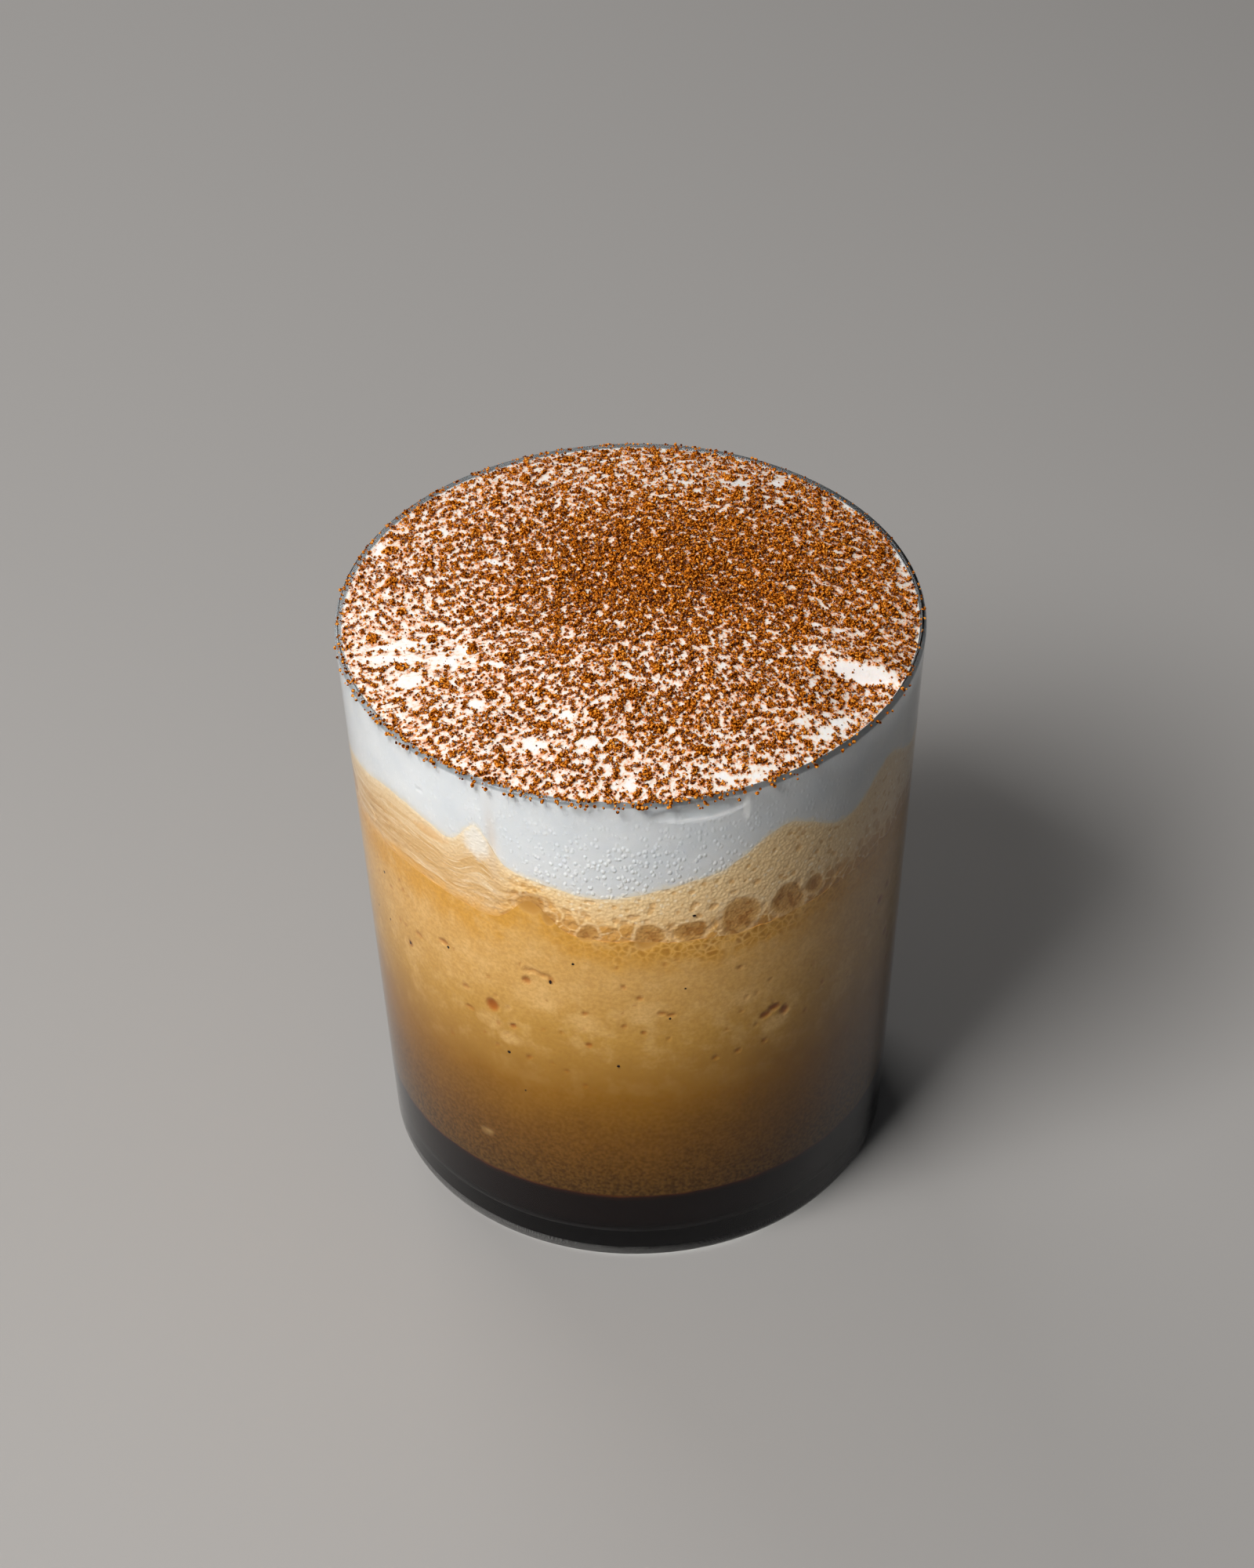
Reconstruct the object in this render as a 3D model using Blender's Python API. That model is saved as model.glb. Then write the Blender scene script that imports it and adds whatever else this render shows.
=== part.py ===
"""A glass of tiramisu frappe: a thin tapered tumbler, filled from the bottom up with black coffee,
blended coffee, a band of froth, and a mound of whipped cream dusted with clumps of cocoa.

Metres, +Z up. The origin is at the middle of the tumbler's foot. The side at -Y is the front, and
a bearing is the angle round the glass from there, in degrees, growing towards +X.
"""

import math
import random

import bmesh
import bpy
from mathutils import Vector, noise

MM = 0.001

# Tumbler
HEIGHT = 95 * MM
RIM_RADIUS = 43 * MM
FOOT_RADIUS = 38.4 * MM
WALL = 1.1 * MM
FLOOR = 5 * MM
HEEL = 2.5 * MM
INSIDE_CORNER = 4 * MM
PUNT_RADIUS = 31 * MM
PUNT_DEPTH = 0.8 * MM

# Layers: the mean height of each boundary, and the free gap between neighbours
COFFEE_LEVEL = 14.3 * MM
FRAPPE_LEVEL = 68.5 * MM
FROTH_LEVEL = 79.5 * MM
CREAM_EDGE = 94.6 * MM
GAP = 0.3 * MM
SEGMENTS = 72

# Where a boundary rises or falls at the wall: bearing, height and half width in degrees
FRAPPE_WAVES = (
    (-50, 1.6 * MM, 15),
    (-21, 5.5 * MM, 5),
    (20, -1.2 * MM, 22),
    (118, 1.4 * MM, 20),
    (165, -1.0 * MM, 16),
    (228, 1.8 * MM, 18),
)
FROTH_WAVES = (
    (-84, -2.4 * MM, 10),
    (-52, 3.2 * MM, 14),
    (-32, 6.0 * MM, 4),
    (-7, -2.9 * MM, 14),
    (30.5, 6.0 * MM, 10),
    (60, 5.6 * MM, 9),
    (125, -1.8 * MM, 16),
    (172, 2.8 * MM, 15),
    (222, -1.6 * MM, 14),
)

# Froth bubbles that press against the wall in front: bearing, height and radius
FRONT_BUBBLES = (
    (-63, 70.6 * MM, 1.2 * MM),
    (-56, 71.5 * MM, 1.3 * MM),
    (-21, 75.9 * MM, 1.2 * MM),
    (-9.5, 69.8 * MM, 1.7 * MM),
    (2.5, 69.8 * MM, 2.6 * MM),
    (10.8, 70.0 * MM, 2.5 * MM),
    (21, 70.7 * MM, 3.5 * MM),
    (31.7, 70.5 * MM, 3.2 * MM),
    (38.2, 71.0 * MM, 1.9 * MM),
)
BACK_BUBBLES = 9
BUBBLE_DEPTH = 0.45

# Cream mound
CREST = Vector((4 * MM, 10 * MM))
CREST_HEIGHT = 4.2 * MM
MENISCUS = 0.6 * MM
UNEVENNESS = 0.5 * MM
UNEVEN_SPAN = 11 * MM
FOLD_START = 21 * MM
FOLD_SPAN = 9 * MM
FOLD_LINE = -12 * MM
FOLD_SLANT = -0.18
FOLD_DROP = 2.2 * MM
FOLD_RUN = 2.4 * MM
FOLD_SHELF = 9 * MM
LIP_HEIGHT = 0.9 * MM
LIP_WIDTH = 3 * MM

# Cocoa clumps fused to the cream
CLUMPS = 100
CLUMP_RADIUS = (0.75 * MM, 1.15 * MM)
CLUMP_REACH = 39.4 * MM
CLUMP_SINK = 0.35
GOLDEN_ANGLE = math.pi * (3 - math.sqrt(5))
SEED = 7

for leftover in list(bpy.data.objects):
    bpy.data.objects.remove(leftover)


def make_material(name, colour, roughness, transmission=0.0, ior=1.45, weight=0.0):
    """A Principled material. The weight is that of the light scattered below the surface."""
    material = bpy.data.materials.new(name)
    material.use_nodes = True
    shader = material.node_tree.nodes["Principled BSDF"]
    shader.inputs["Base Color"].default_value = (*colour, 1)
    shader.inputs["Roughness"].default_value = roughness
    shader.inputs["Metallic"].default_value = 0
    shader.inputs["Transmission Weight"].default_value = transmission
    shader.inputs["IOR"].default_value = ior
    shader.inputs["Subsurface Weight"].default_value = weight
    shader.inputs["Subsurface Scale"].default_value = 2 * MM
    return material


CLEAR_GLASS = make_material("clear_glass", (0.97, 0.99, 0.98), 0.02, transmission=1, ior=1.5)
BLACK_COFFEE = make_material("black_coffee", (0.014, 0.005, 0.002), 0.08, ior=1.34)
BLENDED_COFFEE = make_material("blended_coffee", (0.52, 0.30, 0.11), 0.35, weight=0.3)
BEIGE_FROTH = make_material("beige_froth", (0.60, 0.42, 0.22), 0.4, weight=0.3)
WHITE_CREAM = make_material("white_cream", (0.93, 0.90, 0.85), 0.45, weight=0.4)
COCOA_DUST = make_material("cocoa_dust", (0.33, 0.11, 0.02), 0.9)


def add_object(name, mesh, material):
    mesh.materials.append(material)
    mesh.shade_smooth()
    mesh.set_sharp_from_angle(angle=math.radians(35))
    body = bpy.data.objects.new(name, mesh)
    bpy.context.collection.objects.link(body)
    return body


def outer_radius(z):
    """The tumbler's straight, tapered outer wall."""
    return FOOT_RADIUS + (RIM_RADIUS - FOOT_RADIUS) * z / HEIGHT


def inner_radius(z):
    return outer_radius(z) - WALL


def arc(centre_r, centre_z, radius, start, end, steps):
    """Points of an arc in the profile's plane, with angles in degrees from +X towards +Z."""
    turns = [math.radians(start + (end - start) * k / steps) for k in range(steps + 1)]
    return [(centre_r + radius * math.cos(t), centre_z + radius * math.sin(t)) for t in turns]


def turn_profile(name, profile, material):
    """Turns a profile round the Z axis. It starts and ends on the axis and runs down its outer side."""
    mesh = bpy.data.meshes.new(name)
    points = [(r, 0, z) for r, z in profile]
    edges = [(k, k + 1) for k in range(len(points) - 1)]
    mesh.from_pydata(points, edges, [])
    body = add_object(name, mesh, material)
    screw = body.modifiers.new("turn", "SCREW")
    screw.axis = "Z"
    screw.steps = SEGMENTS
    screw.render_steps = SEGMENTS
    screw.use_merge_vertices = True
    screw.merge_threshold = 0.00001
    screw.use_smooth_shade = True
    return body


def corner_inside(floor, corner, clearance):
    """The rounded corner where the tumbler's floor meets its wall, drawn in by a clearance."""
    side = inner_radius(floor + corner) - clearance
    return arc(side - corner, floor + corner, corner, -90, 0, 4)


def make_tumbler():
    lip = WALL / 2
    heel_side = outer_radius(HEEL)
    punt_edge = PUNT_DEPTH * 2
    profile = [(0, FLOOR)]
    profile += corner_inside(FLOOR, INSIDE_CORNER, 0)
    profile += arc(RIM_RADIUS - lip, HEIGHT - lip, lip, 180, 0, 4)
    profile += arc(heel_side - HEEL, HEEL, HEEL, 0, -90, 4)
    profile += [(PUNT_RADIUS + punt_edge, 0), (PUNT_RADIUS, PUNT_DEPTH * 0.6), (0, PUNT_DEPTH)]
    return turn_profile("tumbler_glass", profile, CLEAR_GLASS)


def make_coffee():
    """Black coffee on the tumbler's floor, with a flat top."""
    top = COFFEE_LEVEL - GAP / 2
    profile = [(0, top), (inner_radius(top) - GAP, top)]
    corner = corner_inside(FLOOR + GAP, INSIDE_CORNER - GAP, GAP)
    profile += reversed(corner)
    profile += [(0, FLOOR + GAP)]
    return turn_profile("black_coffee", profile, BLACK_COFFEE)


def waves_at(bearing, waves):
    total = 0.0
    for centre, rise, width in waves:
        apart = (bearing - centre + 180) % 360 - 180
        total += rise * math.exp(-((apart / width) ** 2))
    return total


def flat_boundary(level):
    return lambda bearing, share: level


def wavy_boundary(level, waves):
    """A boundary that follows its waves at the wall, and flattens out towards the middle."""
    return lambda bearing, share: level + waves_at(bearing, waves) * share**2


def place(bearing, radius, z):
    angle = math.radians(bearing)
    return Vector((radius * math.sin(angle), -radius * math.cos(angle), z))


def smooth_step(value):
    t = min(max(value, 0.0), 1.0)
    return t * t * (3 - 2 * t)


def cream_height(x, y):
    """The cream's top: a low mound off centre, and a fold at the right where it has slumped."""
    wall = inner_radius(CREAM_EDGE) - GAP
    offset = Vector((x, y)) - CREST
    distance = offset.length
    share = 0.0
    if distance > 0:
        along = offset / distance
        across = CREST.dot(along)
        reach = -across + math.sqrt(across**2 + wall**2 - CREST.length_squared)
        share = min(distance / reach, 1.0)
    inward = wall - math.hypot(x, y)
    height = CREAM_EDGE + CREST_HEIGHT * (1 - share**2) ** 1.3
    height += MENISCUS * (1 - math.exp(-max(inward, 0) / (2 * MM)))
    calm = smooth_step(inward / (8 * MM))
    height += calm * UNEVENNESS * noise.noise(Vector((x, y, 0)) / UNEVEN_SPAN)
    ahead = FOLD_LINE + FOLD_SLANT * (x - FOLD_START) - y
    strength = smooth_step((x - FOLD_START) / FOLD_SPAN) * (0.4 + 0.6 * smooth_step(inward / (4 * MM)))
    past = max(ahead - FOLD_RUN, 0)
    drop = FOLD_DROP * smooth_step(ahead / FOLD_RUN) * math.exp(-((past / FOLD_SHELF) ** 2))
    behind = ahead - 0.2 * FOLD_RUN
    lip = LIP_HEIGHT * math.exp(-((behind / LIP_WIDTH) ** 2)) if behind < 0 else 0.0
    return height + strength * (lip - drop)


def cream_top(bearing, share):
    point = place(bearing, share * (inner_radius(CREAM_EDGE) - GAP), 0)
    return cream_height(point.x, point.y)


def boundary_row(boundary, share, lift):
    """A ring of points on a boundary, at a share of the way out to the wall."""
    row = []
    for k in range(SEGMENTS):
        bearing = 360 * k / SEGMENTS
        radius = inner_radius(boundary(bearing, 1)) - GAP
        row.append(place(bearing, share * radius, boundary(bearing, share) + lift))
    return row


def side_row(low, high, share):
    """A ring of points on the wall, at a share of the way up from the low ring to the high one."""
    row = []
    for a, b in zip(low, high):
        z = a.z + (b.z - a.z) * share
        flat = Vector((a.x, a.y)).normalized() * (inner_radius(z) - GAP)
        row.append(Vector((flat.x, flat.y, z)))
    return row


def make_layer(name, below, above, material, under_rings, side_rings, top_rings, top_lift):
    """A layer of the drink: it lies between two boundaries and fills the tumbler from wall to wall."""
    shell = bmesh.new()
    low = [boundary_row(below, k / under_rings, GAP / 2) for k in range(1, under_rings + 1)]
    high = [boundary_row(above, k / top_rings, top_lift) for k in range(top_rings, 0, -1)]
    side = [side_row(low[-1], high[0], k / side_rings) for k in range(1, side_rings)]
    rows = [[shell.verts.new(p) for p in row] for row in low + side + high]
    for step, (row, beyond) in enumerate(zip(rows, rows[1:])):
        inward = step >= len(low) + len(side)
        for k in range(SEGMENTS):
            after = (k + 1) % SEGMENTS
            # Neighbouring layers split each square along the same diagonal, so that they can't touch
            if inward:
                shell.faces.new((row[k], row[after], beyond[k]))
                shell.faces.new((row[after], beyond[after], beyond[k]))
            else:
                shell.faces.new((row[k], row[after], beyond[after]))
                shell.faces.new((row[k], beyond[after], beyond[k]))
    base = shell.verts.new((0, 0, below(0, 0) + GAP / 2))
    peak = shell.verts.new((0, 0, above(0, 0) + top_lift))
    for k in range(SEGMENTS):
        after = (k + 1) % SEGMENTS
        shell.faces.new((base, rows[0][after], rows[0][k]))
        shell.faces.new((peak, rows[-1][k], rows[-1][after]))
    mesh = bpy.data.meshes.new(name)
    shell.to_mesh(mesh)
    shell.free()
    return add_object(name, mesh, material)


def small_ball(name, centre, scale, turn, detail, material):
    """An icosphere, scaled and turned: a bubble or a clump of cocoa."""
    ball = bmesh.new()
    bmesh.ops.create_icosphere(ball, subdivisions=detail, radius=1)
    for vert in ball.verts:
        vert.co = Vector(a * b for a, b in zip(vert.co, scale))
    mesh = bpy.data.meshes.new(name)
    ball.to_mesh(mesh)
    ball.free()
    mesh.materials.append(material)
    body = bpy.data.objects.new(name, mesh)
    body.location = centre
    body.rotation_euler = turn
    return body


def keep_largest(mesh):
    """Drops loose scraps and sealed hollows, so that one closed body is left."""
    shell = bmesh.new()
    shell.from_mesh(mesh)
    unseen = set(shell.verts)
    pieces = []
    while unseen:
        piece = [unseen.pop()]
        for vert in piece:
            near = {edge.other_vert(vert) for edge in vert.link_edges} & unseen
            unseen -= near
            piece.extend(near)
        pieces.append(piece)
    pieces.sort(key=len)
    scraps = [vert for piece in pieces[:-1] for vert in piece]
    bmesh.ops.delete(shell, geom=scraps, context="VERTS")
    shell.to_mesh(mesh)
    shell.free()


def combine(body, helpers, operation):
    """Joins or cuts the body with all the helpers at once, then removes them."""
    group = bpy.data.collections.new(body.name + "_helpers")
    bpy.context.scene.collection.children.link(group)
    for helper in helpers:
        group.objects.link(helper)
        helper.hide_render = True
        helper.display_type = "WIRE"
    boolean = body.modifiers.new("combine", "BOOLEAN")
    boolean.operation = operation
    boolean.operand_type = "COLLECTION"
    boolean.collection = group
    boolean.solver = "EXACT"
    boolean.material_mode = "TRANSFER"
    bpy.context.view_layer.update()
    graph = bpy.context.evaluated_depsgraph_get()
    result = bpy.data.meshes.new_from_object(body.evaluated_get(graph))
    body.modifiers.remove(boolean)
    keep_largest(result)
    body.data = result
    for helper in helpers:
        bpy.data.objects.remove(helper)
    bpy.data.collections.remove(group)


def froth_bubbles(draw):
    """The big bubbles along the wall: those in front, and more of the same round the back."""
    bubbles = list(FRONT_BUBBLES)
    for k in range(BACK_BUBBLES):
        bearing = 68 + (292 - 68) * (k + draw.uniform(0.2, 0.8)) / BACK_BUBBLES
        radius = draw.uniform(1.3, 2.5) * MM
        floor = FRAPPE_LEVEL + waves_at(bearing, FRAPPE_WAVES)
        bubbles.append((bearing, floor + radius + 0.9 * MM, radius))
    return bubbles


def cut_bubbles(froth, draw):
    """Each bubble leaves a shallow round pit in the froth's side."""
    balls = []
    for k, (bearing, z, radius) in enumerate(froth_bubbles(draw)):
        distance = inner_radius(z) - GAP + radius * (1 - BUBBLE_DEPTH)
        centre = place(bearing, distance, z)
        balls.append(small_ball(f"bubble_{k}", centre, [radius] * 3, (0, 0, 0), 2, BEIGE_FROTH))
    combine(froth, balls, "DIFFERENCE")


def clump_places(draw):
    """Even places on a spiral, closer together on the mound's middle than near the rim."""
    places = []
    for k in range(CLUMPS):
        share = math.sqrt((k + 0.5) / CLUMPS)
        radius = CLUMP_REACH * share**1.12
        angle = k * GOLDEN_ANGLE
        x = radius * math.cos(angle) + draw.uniform(-0.5, 0.5) * MM
        y = radius * math.sin(angle) + draw.uniform(-0.5, 0.5) * MM
        places.append((x, y))
    return places


def add_clumps(cream, draw):
    """Cocoa clumps, half sunk into the cream. The bare face of the fold has none."""
    clumps = []
    for k, (x, y) in enumerate(clump_places(draw)):
        size = draw.uniform(*CLUMP_RADIUS)
        scale = [size * draw.uniform(0.8, 1.15) for axis in range(3)]
        turn = [draw.uniform(0, math.tau) for axis in range(3)]
        step = 1 * MM
        slope = abs(cream_height(x, y + step) - cream_height(x, y - step)) / (2 * step)
        if slope > 0.4 or math.hypot(x, y) > CLUMP_REACH:
            continue
        centre = Vector((x, y, cream_height(x, y) + CLUMP_SINK * size))
        clumps.append(small_ball(f"clump_{k}", centre, scale, turn, 1, COCOA_DUST))
    combine(cream, clumps, "UNION")


draw = random.Random(SEED)
coffee_top = flat_boundary(COFFEE_LEVEL)
frappe_top = wavy_boundary(FRAPPE_LEVEL, FRAPPE_WAVES)
froth_top = wavy_boundary(FROTH_LEVEL, FROTH_WAVES)

make_tumbler()
make_coffee()
make_layer("blended_coffee", coffee_top, frappe_top, BLENDED_COFFEE, 1, 2, 3, -GAP / 2)
froth = make_layer("beige_froth", frappe_top, froth_top, BEIGE_FROTH, 3, 3, 3, -GAP / 2)
cut_bubbles(froth, draw)
cream = make_layer("whipped_cream", froth_top, cream_top, WHITE_CREAM, 3, 3, 16, 0)
add_clumps(cream, draw)
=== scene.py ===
import math
import random

import bpy
import numpy as np
from mathutils import Matrix, Vector, noise


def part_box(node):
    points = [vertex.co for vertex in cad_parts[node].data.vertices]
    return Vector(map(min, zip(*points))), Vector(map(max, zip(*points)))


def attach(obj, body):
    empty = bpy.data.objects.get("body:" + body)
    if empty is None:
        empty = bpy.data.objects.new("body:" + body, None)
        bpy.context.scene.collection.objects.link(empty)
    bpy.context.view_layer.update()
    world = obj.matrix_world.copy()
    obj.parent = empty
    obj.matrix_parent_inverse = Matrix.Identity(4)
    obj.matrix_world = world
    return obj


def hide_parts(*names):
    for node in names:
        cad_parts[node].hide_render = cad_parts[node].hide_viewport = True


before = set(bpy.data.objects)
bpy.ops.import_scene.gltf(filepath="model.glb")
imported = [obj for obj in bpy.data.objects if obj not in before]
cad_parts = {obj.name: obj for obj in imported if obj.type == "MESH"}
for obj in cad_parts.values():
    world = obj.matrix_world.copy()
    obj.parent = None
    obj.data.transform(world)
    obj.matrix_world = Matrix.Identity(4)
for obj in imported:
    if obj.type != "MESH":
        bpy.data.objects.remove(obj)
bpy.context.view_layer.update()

MM = 0.001

# Camera
# The glass is seen from 41 degrees above, through a long lens, with a slight tilt of the frame.
# The place and the lens are those that make the rim and the foot fit their ellipses.
CAMERA_PLACE = Vector((0, -482.6, 467.7)) * MM
CAMERA_TARGET = Vector((-0.96, 0, 62.8)) * MM
CAMERA_ROLL = math.radians(-1.11)
CAMERA_LENS = 96.3

camera = bpy.data.objects.new("camera", bpy.data.cameras.new("camera"))
bpy.context.collection.objects.link(camera)
view_line = (CAMERA_TARGET - CAMERA_PLACE).to_track_quat("-Z", "Y").to_matrix().to_4x4()
camera.matrix_world = Matrix.Translation(CAMERA_PLACE) @ view_line @ Matrix.Rotation(CAMERA_ROLL, 4, "Z")
camera.data.lens = CAMERA_LENS
camera.data.sensor_width = 36
camera.data.clip_start = 0.01
bpy.context.scene.camera = camera


# Table and studio light
# A plain pale table top. A soft lamp hangs high on the left, in front of the glass, and a weaker one
# behind it lifts the far edge.
TABLE_SIDE = 6.0
TABLE_COLOUR = (170, 168, 166)
# Lamps: name, place and side in metres, power in watts
LAMPS = (
    ("key_lamp", (-0.40, -0.39, 0.78), 0.40, 8.7),
    ("back_lamp", (-0.35, 0.70, 0.62), 0.45, 2.0),
)
LAMP_TARGET = (0, 0, 0.06)
LAMP_COLOUR = (1.0, 0.98, 0.96)
ROOM_COLOUR = (214, 216, 220)
ROOM_STRENGTH = 0.07


def srgb(red, green, blue):
    """A display colour, 0 to 255, as the linear one that shaders take."""
    channels = [c / 255 for c in (red, green, blue)]
    return (*[c / 12.92 if c <= 0.04045 else ((c + 0.055) / 1.055) ** 2.4 for c in channels], 1)


class Finish:
    """A procedural material. A node is added by its kind, with values or other sockets as its inputs."""

    def __init__(self, name):
        self.material = bpy.data.materials.new(name)
        self.material.use_nodes = True
        self.tree = self.material.node_tree
        self.shader = self.tree.nodes["Principled BSDF"]
        self.output = self.tree.nodes["Material Output"]
        self.colour = None

    def node(self, kind, inputs=None, **settings):
        made = self.tree.nodes.new("ShaderNode" + kind)
        for name, value in settings.items():
            setattr(made, name, value)
        self.feed(made, inputs or {})
        return made

    def feed(self, node, inputs):
        for name, value in inputs.items():
            socket = node.inputs[name]
            if isinstance(value, bpy.types.NodeSocket):
                self.tree.links.new(value, socket)
            else:
                socket.default_value = value

    def surface(self, **inputs):
        self.feed(self.shader, {name.replace("_", " "): value for name, value in inputs.items()})

    def math(self, operation, *values, clamp=False):
        made = self.node("Math", dict(enumerate(values)), operation=operation, use_clamp=clamp)
        return made.outputs[0]

    def place(self, stretch=(1, 1, 1)):
        """The point in the object's own space, stretched."""
        spot = self.node("TexCoord").outputs["Object"]
        return self.node("Mapping", {"Vector": spot, "Scale": stretch}).outputs[0]

    def height(self):
        return self.node("SeparateXYZ", {0: self.place()}).outputs[2]

    def noise(self, size, detail=2.0, roughness=0.5, vector=None, distortion=0.0):
        """Soft noise, 0 to 1, whose blobs are about as wide as the size, in metres."""
        inputs = {"Vector": vector or self.place(), "Scale": 1 / size, "Detail": detail}
        inputs.update({"Roughness": roughness, "Distortion": distortion})
        return self.node("TexNoise", inputs).outputs["Fac"]

    def cells(self, size, feature="F1", vector=None):
        """Distance from the middles of cells of about the size, or as the feature says."""
        inputs = {"Vector": vector or self.place(), "Scale": 1 / size}
        return self.node("TexVoronoi", inputs, feature=feature).outputs["Distance"]

    def ramp(self, factor, *stops):
        """A colour ramp through stops of (position, display colour)."""
        made = self.node("ValToRGB", {"Fac": factor})
        points = made.color_ramp.elements
        while len(points) < len(stops):
            points.new(0.5)
        for point, (position, colour) in zip(points, stops):
            point.position = position
            point.color = srgb(*colour)
        return made.outputs["Color"]

    def span(self, value, low, high, to_low=0.0, to_high=1.0):
        """Maps a value from one range to another, smoothly and clamped."""
        inputs = {"Value": value, "From Min": low, "From Max": high, "To Min": to_low, "To Max": to_high}
        return self.node("MapRange", inputs, interpolation_type="SMOOTHSTEP").outputs["Result"]

    def mix(self, factor, first, second):
        """A blend of two colours. The sockets have numbers because each name comes more than once."""
        made = self.node("Mix", data_type="RGBA")
        self.feed(made, {0: factor, 6: first, 7: second})
        return made.outputs[2]

    def wash(self, mask, colour):
        """Lays a display colour over the colour so far, where the mask is high."""
        self.colour = self.mix(mask, self.colour, srgb(*colour))

    def times(self, *values, clamp=False):
        return self.math("MULTIPLY", *values, clamp=clamp)

    def sway(self, value, size, amount, detail=2.0):
        """A value with noise of the size added, 0 to the amount, so that an edge made from it is uneven."""
        return self.math("MULTIPLY_ADD", self.noise(size, detail), amount, value)

    def attribute(self, name):
        return self.node("Attribute", attribute_name=name).outputs["Fac"]

    def bump(self, height, distance):
        """Relief from a height of 0 to 1. The distance is its full depth, in metres."""
        inputs = {"Height": height, "Distance": distance, "Strength": 1.0}
        return self.node("Bump", inputs).outputs["Normal"]


def add_piece(name, verts, faces):
    mesh = bpy.data.meshes.new(name)
    mesh.from_pydata(verts, [], faces)
    piece = bpy.data.objects.new(name, mesh)
    bpy.context.collection.objects.link(piece)
    return piece


half = TABLE_SIDE / 2
table_corners = [(-half, -half, 0), (half, -half, 0), (half, half, 0), (-half, half, 0)]
table = add_piece("table", table_corners, [(0, 1, 2, 3)])
table_finish = Finish("pale_table")
table_finish.surface(Base_Color=srgb(*TABLE_COLOUR), Roughness=0.8)
table.data.materials.append(table_finish.material)

for lamp_name, lamp_place, lamp_side, watts in LAMPS:
    lamp = bpy.data.lights.new(lamp_name, "AREA")
    lamp.shape = "SQUARE"
    lamp.size = lamp_side
    lamp.energy = watts
    lamp.color = LAMP_COLOUR
    lamp_holder = bpy.data.objects.new(lamp_name, lamp)
    bpy.context.collection.objects.link(lamp_holder)
    lamp_holder.location = lamp_place
    lamp_line = Vector(LAMP_TARGET) - Vector(lamp_place)
    lamp_holder.rotation_euler = lamp_line.to_track_quat("-Z", "Y").to_euler()
world = bpy.data.worlds.new("studio")
world.use_nodes = True
room = world.node_tree.nodes["Background"]
room.inputs["Color"].default_value = srgb(*ROOM_COLOUR)
room.inputs["Strength"].default_value = ROOM_STRENGTH
bpy.context.scene.world = world
bpy.context.scene.view_settings.view_transform = "Standard"


# Tumbler
# A thin blown tumbler of clear soda glass. Its wall is straight and widens slightly to a fire-polished
# rim, and it stands on a flat ring round a shallow hollow.
tumbler_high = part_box("tumbler_glass")[1]
RIM_RADIUS = tumbler_high.x
HEIGHT = tumbler_high.z
FOOT_RADIUS = 38.4 * MM
WALL = 1.1 * MM
LIP = WALL / 2
FLOOR = 5 * MM
HEEL = 2.5 * MM
INSIDE_CORNER = 4 * MM
PUNT_RADIUS = 31 * MM
PUNT_DEPTH = 0.8 * MM
GLASS_SIDES = 288
GLASS_BEARINGS = np.linspace(-180, 180, GLASS_SIDES, endpoint=False)
SHARP_ANGLE = math.radians(50)


def outer_radius(z):
    return FOOT_RADIUS + (RIM_RADIUS - FOOT_RADIUS) * z / HEIGHT


def inner_radius(z):
    return outer_radius(z) - WALL


def arc(centre_r, centre_z, radius, start, end, steps):
    """Points of an arc in the profile's plane, with angles in degrees from +X towards +Z."""
    turns = [math.radians(start + (end - start) * k / steps) for k in range(steps + 1)]
    return [(centre_r + radius * math.cos(t), centre_z + radius * math.sin(t)) for t in turns]


def between(start, end, steps):
    """Points between two profile points, without the ends."""
    return [tuple(a + (b - a) * k / steps for a, b in zip(start, end)) for k in range(1, steps)]


def round_points(rows_r, rows_z, bearings):
    """A grid of points. Each row goes once round the glass, at the bearings, in degrees from the front."""
    turn = np.radians(bearings)
    rows_r, rows_z = (np.asarray(rows, float).reshape(len(rows), -1) for rows in (rows_r, rows_z))
    r, z = (np.broadcast_to(rows, (len(rows), len(turn))) for rows in (rows_r, rows_z))
    return np.stack([r * np.sin(turn), -r * np.cos(turn), z], axis=-1)


def round_piece(name, points, start, end):
    """A closed, smooth piece from a grid of points, with a point at each end.

    The grid's rows run outwards under the piece, up its outer side and back inwards above.
    """
    rows, sides = points.shape[:2]
    verts = np.concatenate([points.reshape(-1, 3), [start], [end]])
    here = np.arange(sides)
    after = np.roll(here, -1)
    first = np.arange(rows - 1)[:, None] * sides
    quads = np.stack([first + here, first + after, first + sides + after, first + sides + here], axis=-1)
    faces = quads.reshape(-1, 4).tolist()
    faces += [[rows * sides, after[k], here[k]] for k in range(sides)]
    last = (rows - 1) * sides
    faces += [[rows * sides + 1, last + here[k], last + after[k]] for k in range(sides)]
    piece = add_piece(name, verts.tolist(), faces)
    piece.data.shade_smooth()
    piece.data.set_sharp_from_angle(angle=SHARP_ANGLE)
    return piece


def dress(piece, finish):
    """Gives a piece its finish. Every piece stands with the glass."""
    piece.data.materials.append(finish.material)
    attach(piece, "root")


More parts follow.
